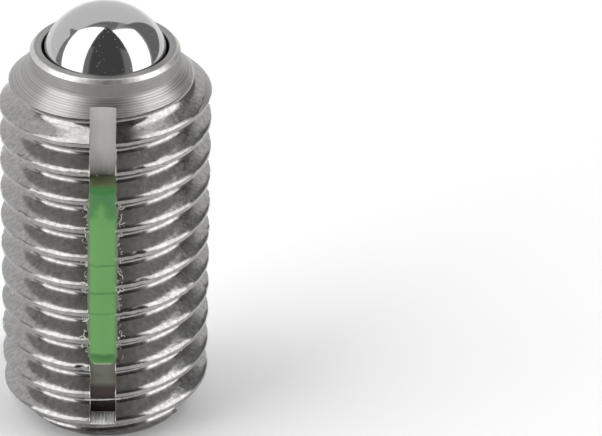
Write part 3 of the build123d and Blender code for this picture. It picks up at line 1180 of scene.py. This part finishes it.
# %% The green nylon: the place along the strip
tongue_shift, tongue_low, tongue_high, tongue_drag = 0.21, 12.2, 13.0, 2.2
calm, frayed = 0.2, 2
skin_depth = {"Subsurface Weight": 0.25, "Subsurface Radius": (0.3, 0.7, 0.3), "Subsurface Scale": 0.35 * MM}
tree, surface = clear(nylon, {"Metallic": 0.0, "IOR": 1.53, **skin_depth})
position = object_place(tree)
axes = add_node(tree, "ShaderNodeSeparateXYZ", {0: position}).outputs
cloud = blotches(tree, position, 0.6)
either_way = add_node(tree, "ShaderNodeMath", {0: cloud, 1: 0.5}, operation="SUBTRACT")
near_top = {0: axes["Z"], 1: tongue_low * MM, 2: tongue_high * MM}
restless = add_node(tree, "ShaderNodeMapRange", {**near_top, 3: calm * MM, 4: frayed * MM})
drift = add_node(tree, "ShaderNodeMath", {0: either_way, 1: restless}, operation="MULTIPLY")
centred = add_node(tree, "ShaderNodeMath", {0: axes["X"], 1: groove_shift * MM})
beside = add_node(tree, "ShaderNodeMath", {0: centred}, operation="ABSOLUTE")
drag = add_node(tree, "ShaderNodeMapRange", {**near_top, 3: 0.0, 4: tongue_drag})
leaning = add_node(tree, "ShaderNodeMath", {0: axes["X"], 1: tongue_shift * MM})
off_tongue = add_node(tree, "ShaderNodeMath", {0: leaning}, operation="ABSOLUTE")
dragged = add_node(tree, "ShaderNodeMath", {0: off_tongue, 1: drag}, operation="MULTIPLY")
raised = add_node(tree, "ShaderNodeMath", {0: axes["Z"], 1: dragged})
shifted = add_node(tree, "ShaderNodeMath", {0: raised, 1: drift})
gauge = add_node(tree, "ShaderNodeMapRange", {0: shifted, 1: strip_low * MM, 2: strip_high * MM})
print("the strip's colour is measured over", round(strip_high - strip_low, 2), "mm")

# %% [markdown]
# A colour ramp holds the colours along that number. The thin side lobes let the steel shine through,
# so they are paler and greyer than the core. The face where the top was sheared off points up into the
# groove and gets a painted shade, a dull olive darker than the core.

# %% The green nylon: its colours
shades = add_node(tree, "ShaderNodeValToRGB", {0: gauge})
marks = [
    (0.000, "#B5BFA3"),
    (0.012, "#4E8D43"),
    (0.045, "#3A7532"),
    (0.056, "#3A7532"),
    (0.070, "#66A257"),
    (0.285, "#68A457"),
    (0.292, "#4F8744"),
    (0.300, "#68A457"),
    (0.400, "#64A052"),
    (0.407, "#447C3A"),
    (0.416, "#66A255"),
    (0.555, "#6AA45A"),
    (0.562, "#477F3D"),
    (0.570, "#68A458"),
    (0.740, "#68A457"),
    (0.850, "#62A053"),
    (0.900, "#4F9146"),
    (0.940, "#3F8440"),
    (1.000, "#427F43"),
]
ramp = shades.color_ramp
for spot, colour in marks[1:-1]:
    ramp.elements.new(spot)
for element, (spot, colour) in zip(ramp.elements, marks):
    element.position = spot
    element.color = linear(colour)
thin_inner, thin_outer = 0.50, 0.66
thin_edge = {0: beside, 1: thin_inner * MM, 2: thin_outer * MM}
thin = add_node(tree, "ShaderNodeMapRange", thin_edge, interpolation_type="SMOOTHSTEP")
sides = add_node(tree, "ShaderNodeMix", {0: thin, 6: shades, 7: linear("#69775F")}, data_type="RGBA")
# Painted shade: faces that point up, the sheared top, get a dull dark olive.
facing = add_node(tree, "ShaderNodeTexCoord").outputs["Normal"]
upward = add_node(tree, "ShaderNodeSeparateXYZ", {0: facing}).outputs["Z"]
upward_face_shade = add_node(tree, "ShaderNodeMapRange", {0: upward, 1: 0.93, 2: 0.99})
colours = {0: upward_face_shade, 6: sides.outputs[2], 7: linear("#76805A")}
skin = add_node(tree, "ShaderNodeMix", colours, data_type="RGBA").outputs[2]
connect(tree, surface, {"Base Color": skin, "Roughness": spread(tree, cloud, 0.28, 0.45)})
roughen(tree, surface, blotches(tree, position, 0.25), 0.02)
print(len(marks), "colours along the strip")

# %% [markdown]
# A shaving is so thin that the pigment hardly shows. It looks like pale, glossy thread.

# %% The nylon shavings
tree, surface = clear(shavings, {"Metallic": 0.0, "Base Color": linear("#EEF0E4"), "Roughness": 0.2})
print("shavings take", len(tree.nodes), "nodes")

# %% [markdown]
# ## Spring wire and ball
#
# The spring is drawn stainless wire with a dull sheen and faint die lines. The ball is hardened
# bearing steel, lapped so finely that it is a mirror, with a little dust on it.

# %% Wire and ball
tree, surface = clear(wire_steel, {"Metallic": 1.0, "Roughness": 0.28})
position = object_place(tree)
tint(tree, surface, spread(tree, blotches(tree, position, 0.5), 0, 1), "#AFAFB0", "#9A9A9C")
roughen(tree, surface, lathe_lines(tree, position, 0.05, 5), 0.003)

dust_spacing = 0.20
tree, surface = clear(ball_steel, {"Metallic": 1.0})
scatter = {"Vector": object_place(tree), "Scale": 1 / (dust_spacing * MM), "Randomness": 1.0}
specks = add_node(tree, "ShaderNodeTexVoronoi", scatter).outputs["Distance"]
dust = add_node(tree, "ShaderNodeMapRange", {0: specks, 1: 0.06, 2: 0.10, 3: 1.0, 4: 0.0})
tint(tree, surface, dust, "#BEBEBF", "#D8D8D6")
matt = add_node(tree, "ShaderNodeMapRange", {0: dust, 3: 0.07, 4: 0.8})
connect(tree, surface, {"Roughness": matt})
print("a speck of dust every", dust_spacing, "mm")

# %% [markdown]
# ## The studio
#
# Metal shows its surroundings, so the studio matters as much as the part. The ball in the photograph
# is a mirror of it: a light tent with two bright walls, left and right, that meet above, a dark gap
# between them where the camera looks in, and a pale sheet behind the part. Each wall is bounded by
# straight edges, and a straight edge seen from the middle is a plane through the middle. So each region
# is a set of planes that a direction must lie in front of, and each region covers those before it.

# %% One region of the light tent
world = bpy.data.worlds.new("light_tent")
bpy.context.scene.world = world
world.use_nodes = True
tree = world.node_tree
tree.nodes.clear()
direction = add_node(tree, "ShaderNodeTexCoord").outputs["Generated"]


def region(level, radiance, blur, planes):
    """Sets a radiance where the direction lies in front of all planes, and keeps the level elsewhere."""
    inside = None
    for plane in planes:
        reach = add_node(tree, "ShaderNodeVectorMath", {0: direction, 1: plane}, operation="DOT_PRODUCT")
        edge = {0: reach.outputs["Value"], 1: -blur, 2: blur}
        front_of = add_node(tree, "ShaderNodeMapRange", edge, interpolation_type="SMOOTHSTEP")
        if inside:
            front_of = add_node(tree, "ShaderNodeMath", {0: inside, 1: front_of}, operation="MULTIPLY")
        inside = front_of
    return add_node(tree, "ShaderNodeMix", {0: inside, 2: level, 3: radiance})


print("the tent is empty")

# %% [markdown]
# The walls are lit from outside, so they are much brighter than the paper. Their edges are sharp, and
# the glow of the right wall on the cloth beside it is soft. Each row below holds a radiance, how soft
# its edges are, and its planes.

# %% The regions of the light tent
back_sheet, lit, sharp = 0.88, 2.5, 0.012
left_seam = Vector((-0.762, 0.643, -0.071))
right_seam = Vector((0.652, 0.748, -0.124))
left_wall = left_seam, (-0.286, -0.954, 0.092), (0.114, -0.908, 0.403)
right_wall = right_seam, (0.519, -0.851, -0.084), (-0.025, -0.903, 0.43)
above_walls = Vector((0.931, -0.275, -0.239))
lower_half = (-0.038, -0.86, -0.509)
regions = [
    # the grey seam above the right wall and the dark band above the left one
    (0.42, 0.03, (above_walls, (0.293, -0.913, 0.283))),
    (0.24, 0.02, (-above_walls, (0.121, -0.932, 0.34))),
    # the dark corner at the right back
    (0.22, 0.02, ((0.809, -0.54, -0.233),)),
    # the dark strip left of the left wall, with its notch
    (0.30, sharp, (left_seam, (-0.172, -0.963, 0.205))),
    (0.30, sharp, (left_seam, (0.582, -0.078, 0.81), (-0.722, -0.552, -0.418))),
    # the glow beside the right wall, and the two walls
    (1.0, 0.12, right_wall),
    (lit, sharp, left_wall),
    (lit, sharp, right_wall),
    # the gap where the camera looks in, with a lighter strip at each side of it
    (0.09, sharp, (-left_seam, -right_seam)),
    (0.25, 0.04, (-left_seam, lower_half, (-0.868, 0.493, -0.062))),
    (0.25, 0.04, (-right_seam, lower_half, (0.821, 0.563, -0.094))),
]
level = back_sheet
for radiance, blur, planes in regions:
    level = region(level, radiance, blur, planes)
print(len(regions), "regions")

# %% [markdown]
# The camera and clear things see plain white behind the part, and only metal sees the tent. The Light
# Path node tells the rays apart.

# %% White for the camera
path = add_node(tree, "ShaderNodeLightPath").outputs
seen = add_node(
    tree, "ShaderNodeMath", {0: path["Is Camera Ray"], 1: path["Is Transmission Ray"]}, operation="MAXIMUM"
)
strength = add_node(tree, "ShaderNodeMix", {0: seen, 2: level, 3: 1.0})
background = add_node(tree, "ShaderNodeBackground", {"Color": (1, 1, 1, 1), "Strength": strength})
add_node(tree, "ShaderNodeOutputWorld", {0: background})
print("the world takes", len(tree.nodes), "nodes")

# %% [markdown]
# The part stands on white paper, which is matt and keeps its soft shadow. It is one large face, so that
# its edge never shows, and it belongs to the studio, not to the part.

# %% The floor
reach = 1.5
floor_mesh = bpy.data.meshes.new("floor")
floor_corners = [(-reach, -reach, 0), (reach, -reach, 0), (reach, reach, 0), (-reach, reach, 0)]
floor_mesh.from_pydata(floor_corners, [], [(0, 1, 2, 3)])
floor = add_object("floor", floor_mesh)
paper = bpy.data.materials.new("white_paper")
clear(paper, {"Metallic": 0.0, "Base Color": linear("#FBFBFB"), "Roughness": 0.9})
floor_mesh.materials.append(paper)
print("floor", 2 * reach, "m wide")

# %% [markdown]
# ## The camera
#
# The photograph was taken with a long lens from 30.5 degrees above the table. The thread's crests gave
# the distance and the focal length. The part stands at the left of the frame, so the lens is shifted.

# %% Camera
frame_width = 602
look_down = radians(30.5)
camera_distance = 170.2
aim_height = 9.80
focal_pixels = 3605.7
part_column = 105.3
camera_data = bpy.data.cameras.new("camera")
camera_data.sensor_width = 36
camera_data.sensor_fit = "HORIZONTAL"
camera_data.lens = focal_pixels * camera_data.sensor_width / frame_width
camera_data.shift_x = (frame_width / 2 - part_column) / frame_width
camera_data.clip_start = 0.01
camera = add_object("camera", camera_data)
away, above = camera_distance * cos(look_down), camera_distance * sin(look_down)
camera.location = Vector((0, -away, aim_height + above)) * MM
camera.rotation_euler = (pi / 2 - look_down, 0, 0)
bpy.context.scene.camera = camera
bpy.context.scene.view_settings.view_transform = "Standard"
print("lens", round(camera_data.lens, 1), "mm, shift", round(camera_data.shift_x, 3))
